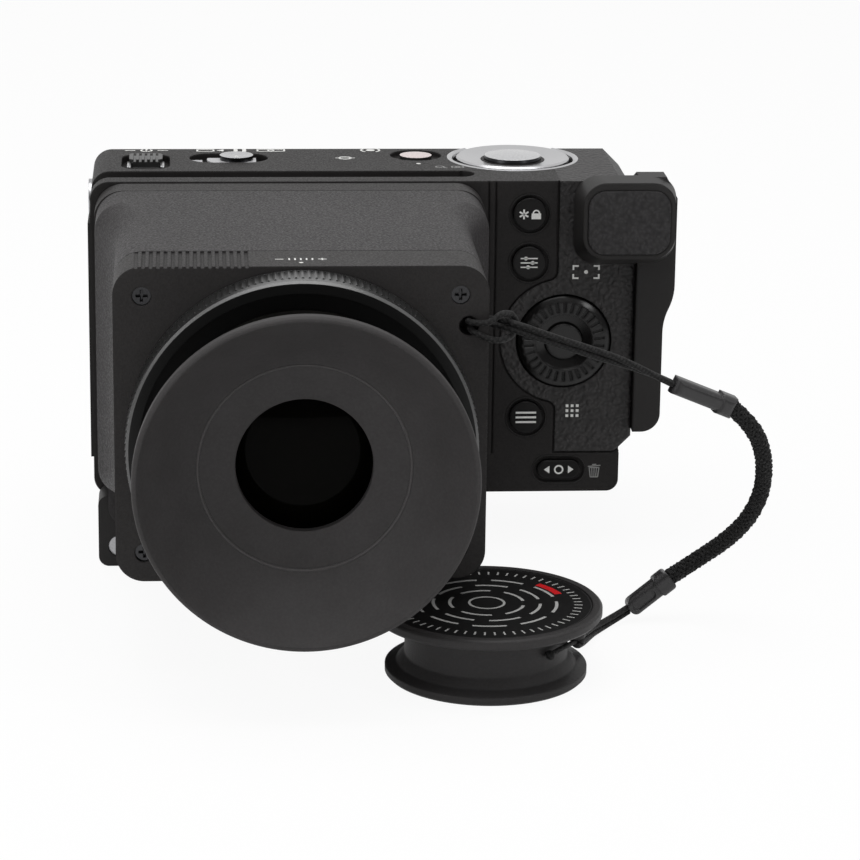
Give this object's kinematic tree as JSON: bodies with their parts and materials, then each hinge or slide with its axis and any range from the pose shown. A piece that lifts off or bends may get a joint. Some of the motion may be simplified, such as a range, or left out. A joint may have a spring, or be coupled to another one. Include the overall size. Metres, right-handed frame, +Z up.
{
  "type": "mirrorless camera",
  "caption": "Compact mirrorless camera body with a magnifying eyepiece finder over its rear screen, a side grip and an eyepiece cap on a wrist lanyard",
  "frame": {"origin": "Under the middle of the camera with its finder and grip, on the surface that the assembly stands on; the lanyard and the cap that lies beside it are left out of that middle.", "axes": "X to the right for somebody who looks through the finder, Y forward along the taking direction, Z up."},
  "size_m": [0.1369, 0.158, 0.0826],
  "materials": {
    "body_paint": "fine matte black coat",
    "leather": "grained black covering",
    "dark_alloy": "black anodised",
    "silver": "fine turned, clear anodised",
    "steel": "ground bright",
    "nickel": "nickel plated",
    "gloss_black": "polished black",
    "matte_black": "fine textured black",
    "finder_plastic": "satin dark grey",
    "rubber": "matte black rubber",
    "screen_glass": "clear, polished",
    "lens_glass": "coated, polished",
    "sensor": "glossy chip",
    "board": "lacquered",
    "gold": "gold plated",
    "cord": "braided black",
    "label": "matte black foil",
    "rec_white": "pale pinkish, polished"
  },
  "bodies": {
    "camera": {"end_cover": "leather", "rear_housing": "body_paint", "front_housing": "body_paint", "top_cover": "body_paint", "heat_sink": "dark_alloy", "dial_trim": "silver", "finder_hood": "finder_plastic", "finder_cover": "matte_black", "cover_screws": "steel", "finder_barrel": "dark_alloy", "eyecup": "rubber", "screen_glass": "screen_glass", "screen_panel": "gloss_black", "sensor_frame": "dark_alloy", "image_sensor": "sensor", "sensor_filter": "lens_glass", "main_board": "board", "lens_mount_ring": "steel", "mount_screws": "steel", "contact_block": "gold", "battery": "matte_black", "port_sockets": "matte_black", "screw_sockets": "steel", "finder_frame": "matte_black", "finder_gasket": "rubber", "base_bracket": "body_paint", "bracket_pins": "nickel", "bracket_screw": "steel", "bracket_socket": "steel", "grip_frame": "body_paint", "thumb_pad": "leather", "grip_screw": "steel", "cap_body": "matte_black", "cap_label": "label", "hitch_loop": "cord", "upper_cord": "cord", "upper_connector": "matte_black", "wrist_strap": "cord", "lower_connector": "matte_black", "lower_cord": "cord"},
    "lens_release": {"lens_release_button": "gloss_black", "lens_lock_pin": "steel"},
    "power": {"power_switch": "gloss_black"},
    "mode_slider": {"mode_switch": "silver"},
    "record": {"record_button": "rec_white"},
    "shutter": {"shutter_button": "silver"},
    "dial": {"top_dial": "silver"},
    "exposure_lock": {"exposure_lock_button": "gloss_black"},
    "quick_set": {"quick_set_button": "gloss_black"},
    "menu": {"menu_button": "gloss_black"},
    "mode": {"mode_button": "gloss_black"},
    "wheel": {"control_wheel": "matte_black"},
    "wheel_centre": {"centre_button": "gloss_black"},
    "battery_lid": {"battery_door": "body_paint"},
    "battery_catch": {"battery_latch": "matte_black"},
    "port_lid": {"port_door": "rubber"},
    "diopter": {"diopter_ring": "matte_black"},
    "finder_lens": {"lens_cell": "dark_alloy", "eye_lens": "lens_glass", "field_lens": "lens_glass"}
  },
  "joints": [
    {"name": "lens_release_press", "type": "slide", "parent": "camera", "child": "lens_release", "axis": [0, -1, 0], "range_m": [0, 0.0016], "stiffness_N_per_m": 700},
    {"name": "power_slide", "type": "slide", "parent": "camera", "child": "power", "axis": [1, 0, 0], "range_m": [-0.001, 0.001], "stiffness_N_per_m": 500},
    {"name": "mode_slide", "type": "slide", "parent": "camera", "child": "mode_slider", "axis": [1, 0, 0], "range_m": [-0.0036, 0]},
    {"name": "record_press", "type": "slide", "parent": "camera", "child": "record", "axis": [0, 0, -1], "range_m": [0, 0.0007], "stiffness_N_per_m": 800},
    {"name": "shutter_press", "type": "slide", "parent": "camera", "child": "shutter", "axis": [0, 0, -1], "range_m": [0, 0.0012], "stiffness_N_per_m": 600},
    {"name": "dial_turn", "type": "hinge", "parent": "camera", "child": "dial", "pos_m": [0.02958, 0.05137, 0.0813], "axis": [0, 0, 1], "continuous": true},
    {"name": "exposure_lock_press", "type": "slide", "parent": "camera", "child": "exposure_lock", "axis": [0, 1, 0], "range_m": [0, 0.0005], "stiffness_N_per_m": 900},
    {"name": "quick_set_press", "type": "slide", "parent": "camera", "child": "quick_set", "axis": [0, 1, 0], "range_m": [0, 0.0005], "stiffness_N_per_m": 900},
    {"name": "menu_press", "type": "slide", "parent": "camera", "child": "menu", "axis": [0, 1, 0], "range_m": [0, 0.0005], "stiffness_N_per_m": 900},
    {"name": "mode_press", "type": "slide", "parent": "camera", "child": "mode", "axis": [0, 1, 0], "range_m": [0, 0.0005], "stiffness_N_per_m": 900},
    {"name": "wheel_turn", "type": "hinge", "parent": "camera", "child": "wheel", "pos_m": [0.03893, 0.02697, 0.0465], "axis": [0, 1, 0], "continuous": true},
    {"name": "wheel_centre_press", "type": "slide", "parent": "camera", "child": "wheel_centre", "axis": [0, 1, 0], "range_m": [0, 0.0005], "stiffness_N_per_m": 900},
    {"name": "battery_lid_turn", "type": "hinge", "parent": "camera", "child": "battery_lid", "pos_m": [0.04918, 0.04017, 0.014], "axis": [0, -1, 0], "range_deg": [0, 90]},
    {"name": "battery_catch_slide", "type": "slide", "parent": "battery_lid", "child": "battery_catch", "axis": [1, 0, 0], "range_m": [0, 0.002]},
    {"name": "port_lid_turn", "type": "hinge", "parent": "camera", "child": "port_lid", "pos_m": [-0.06118, 0.05637, 0.0174], "axis": [0, 0, -1], "range_deg": [0, 95]},
    {"name": "diopter_turn", "type": "hinge", "parent": "camera", "child": "diopter", "pos_m": [-0.01943, -0.04813, 0.0472], "axis": [0, 1, 0], "range_deg": [-60, 60]},
    {"name": "finder_lens_slide", "type": "slide", "parent": "camera", "child": "finder_lens", "axis": [0, 1, 0], "range_m": [-0.002, 0.002]}
  ],
  "couplings": [
    {"joint": "diopter_turn", "follows": "finder_lens_slide", "rad_per_m": 520}
  ]
}
